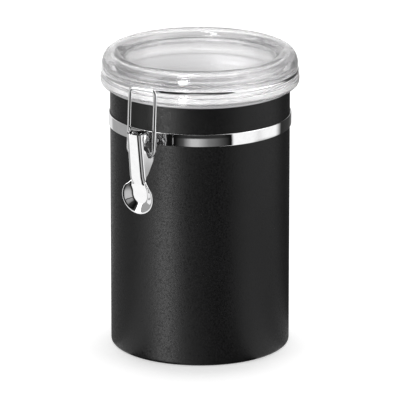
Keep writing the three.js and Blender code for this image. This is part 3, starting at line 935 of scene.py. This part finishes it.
def studio_level(start, place, cards):
    """Brightness of the studio round the canister, from a list of cards by their turn."""
    turned_place = start.node("VectorRotate", {"rotation_type": "Z_AXIS"},
                              {"Vector": place, "Angle": -VIEW_AZIMUTH})
    across = start.node("SeparateXYZ", {}, {"Vector": turned_place}, "X")
    ahead = start.node("SeparateXYZ", {}, {"Vector": turned_place}, "Y")
    angle = start.sum("ARCTAN2", across, 0 - ahead)
    stops = [(turn / 360 + 0.5, level) for turn, level in cards]
    return on_ramp(start, stops, angle / (2 * math.pi) + 0.5)


def looked_at(start):
    """1 for what the camera sees, also through the clear lid, and 0 for other light."""
    camera_ray = start.node("LightPath", {}, {}, "Is Camera Ray")
    glass_ray = start.node("LightPath", {}, {}, "Is Transmission Ray")
    return start.sum("MAXIMUM", camera_ray, glass_ray)


def build_world():
    """White for the camera and through the lid, cards for reflections, even light for the rest."""
    world = bpy.data.worlds.new("studio")
    bpy.context.scene.world = world
    world.use_nodes = True
    world.node_tree.nodes.clear()
    start = Shade(world.node_tree)
    direction = start.node("TexCoord", {}, {}, "Generated")
    height = start.node("SeparateXYZ", {}, {"Vector": direction}, "Z")
    high = on_ramp(start, [(0.156, 0.45), (0.225, 1.0)], height)
    level = blend(start, high, studio_level(start, direction, pale_back(STUDIO_CARDS)),
                  studio_level(start, direction, pale_back(FAR_CARDS)))
    glossy_ray = start.node("LightPath", {}, {}, "Is Glossy Ray")
    plain = start.node("Background", {}, {"Color": WHITE, "Strength": PLAIN_LIGHT})
    white = start.node("Background", {}, {"Color": WHITE, "Strength": 1.0})
    mirrored = start.node("Background", {}, {"Color": level, "Strength": 1.0})
    lit = start.node("MixShader", {}, {0: glossy_ray, 1: plain, 2: mirrored})
    seen = start.node("MixShader", {}, {0: looked_at(start), 1: lit, 2: white})
    start.node("OutputWorld", {}, {"Surface": seen})


def floor_finish():
    """White paper that keeps the canister's shadow, with a painted shadow added: its glow for the camera is
    darker near the canister's foot, most on the camera's side. It shows the studio's cards to shiny pieces.
    """
    finish, start, place = new_finish("floor_with_painted_shadow")
    distance = start.node("VectorMath", {"operation": "LENGTH"}, {0: place}, "Value")
    # Painted shade: within about 0.4 m the floor shows shiny pieces a grey right where the studio is white
    out = on_ramp(start, [(0.2, 0.0), (0.235, 1.0)], distance * 0.5)
    far = on_ramp(start, [(0.35, 0.0), (0.38, 1.0), (0.56, 1.0), (0.62, 0.45)], distance * 0.5)
    close = blend(start, out, studio_level(start, place, SHADED_NEAR_CARDS),
                  studio_level(start, place, STUDIO_CARDS))
    level = blend(start, far, close, studio_level(start, place, FAR_CARDS))
    from_painted_shadow = start.node("VectorMath", {"operation": "DISTANCE"}, {0: place, 1: PAINTED_SHADOW_MIDDLE}, "Value")
    # Painted shadow: the paper's glow is weaker close to the canister's foot
    painted_shadow_glow = on_ramp(start, [(0.2, 0.39), (0.275, 0.5), (0.375, 0.6), (0.45, 0.68)], from_painted_shadow * 5)
    paper = start.node("BsdfDiffuse", {}, {"Color": PAPER})
    white = start.node("Emission", {}, {"Color": painted_shadow_glow, "Strength": 1.0})
    mirrored = start.node("Emission", {}, {"Color": level, "Strength": 1.0})
    glossy_ray = start.node("LightPath", {}, {}, "Is Glossy Ray")
    seen = start.node("AddShader", {}, {0: paper, 1: white})
    direct = start.node("MixShader", {}, {0: looked_at(start), 1: paper, 2: seen})
    surface = start.node("MixShader", {}, {0: glossy_ray, 1: direct, 2: mirrored})
    start.node("OutputMaterial", {}, {"Surface": surface})
    return finish


def build_floor():
    """A wide flat floor under the canister."""
    bm = bmesh.new()
    bmesh.ops.create_grid(bm, x_segments=1, y_segments=1, size=FLOOR_REACH)
    mesh = bpy.data.meshes.new("floor")
    bm.to_mesh(mesh)
    bm.free()
    mesh.materials.append(floor_finish())
    floor = bpy.data.objects.new("floor", mesh)
    bpy.context.scene.collection.objects.link(floor)


def build_softbox(name, turn, distance, height, size, radiance, shines_on=None):
    """A soft lamp, its turn in degrees to the right of the camera. It may shine on one piece only."""
    lamp = bpy.data.lights.new(name, "AREA")
    lamp.shape = "RECTANGLE"
    lamp.size = size[0]
    lamp.size_y = size[1]
    lamp.energy = radiance * math.pi * size[0] * size[1]
    lamp_object = bpy.data.objects.new(name, lamp)
    angle = VIEW_AZIMUTH + math.radians(turn)
    lamp_object.location = (distance * math.sin(angle), -distance * math.cos(angle), height)
    aim = LAMP_TARGET - lamp_object.location
    lamp_object.rotation_euler = aim.to_track_quat("-Z", "Y").to_euler()
    if shines_on:
        receivers = bpy.data.collections.new(name + "_receivers")
        receivers.objects.link(shines_on)
        lamp_object.light_linking.receiver_collection = receivers
        lamp_object.visible_diffuse = False
        lamp.use_shadow = False
    bpy.context.scene.collection.objects.link(lamp_object)


def build_camera():
    """A long lens to the right of the latch, looking down on the canister."""
    camera = bpy.data.cameras.new("camera")
    camera.lens = VIEW_LENS
    camera.sensor_width = VIEW_SENSOR
    camera.clip_end = 50.0
    camera_object = bpy.data.objects.new("camera", camera)
    direction = Vector((math.sin(VIEW_AZIMUTH) * math.cos(VIEW_PITCH),
                        -math.cos(VIEW_AZIMUTH) * math.cos(VIEW_PITCH), math.sin(VIEW_PITCH)))
    camera_object.location = Vector((0, 0, AIM_HEIGHT)) + direction * VIEW_DISTANCE
    camera_object.rotation_euler = (-direction).to_track_quat("-Z", "Y").to_euler()
    bpy.context.scene.collection.objects.link(camera_object)
    bpy.context.scene.camera = camera_object


build_world()
build_floor()
build_softbox("softbox_left", -62.0, 1.0, 0.5, (0.4, 0.6), 2.0)
build_softbox("coat_lamp", -44.0, 1.0, -0.2, (0.1, 0.7), 36.0, shines_on=coated_body)
build_softbox("lid_lamp", -20.0, 1.0, 0.35, (0.16, 0.6), 14.0, shines_on=clear_lid)
build_softbox("lid_top_lamp", -32.0, 0.35, 1.1, (0.12, 0.5), 14.0, shines_on=clear_lid)
build_softbox("softbox_right", 75.0, 1.0, 0.45, (0.6, 0.9), 1.2)
build_softbox("softbox_top", 170.0, 0.4, 1.3, (1.0, 1.0), 0.8)
build_camera()

bpy.context.scene.view_settings.view_transform = "Standard"
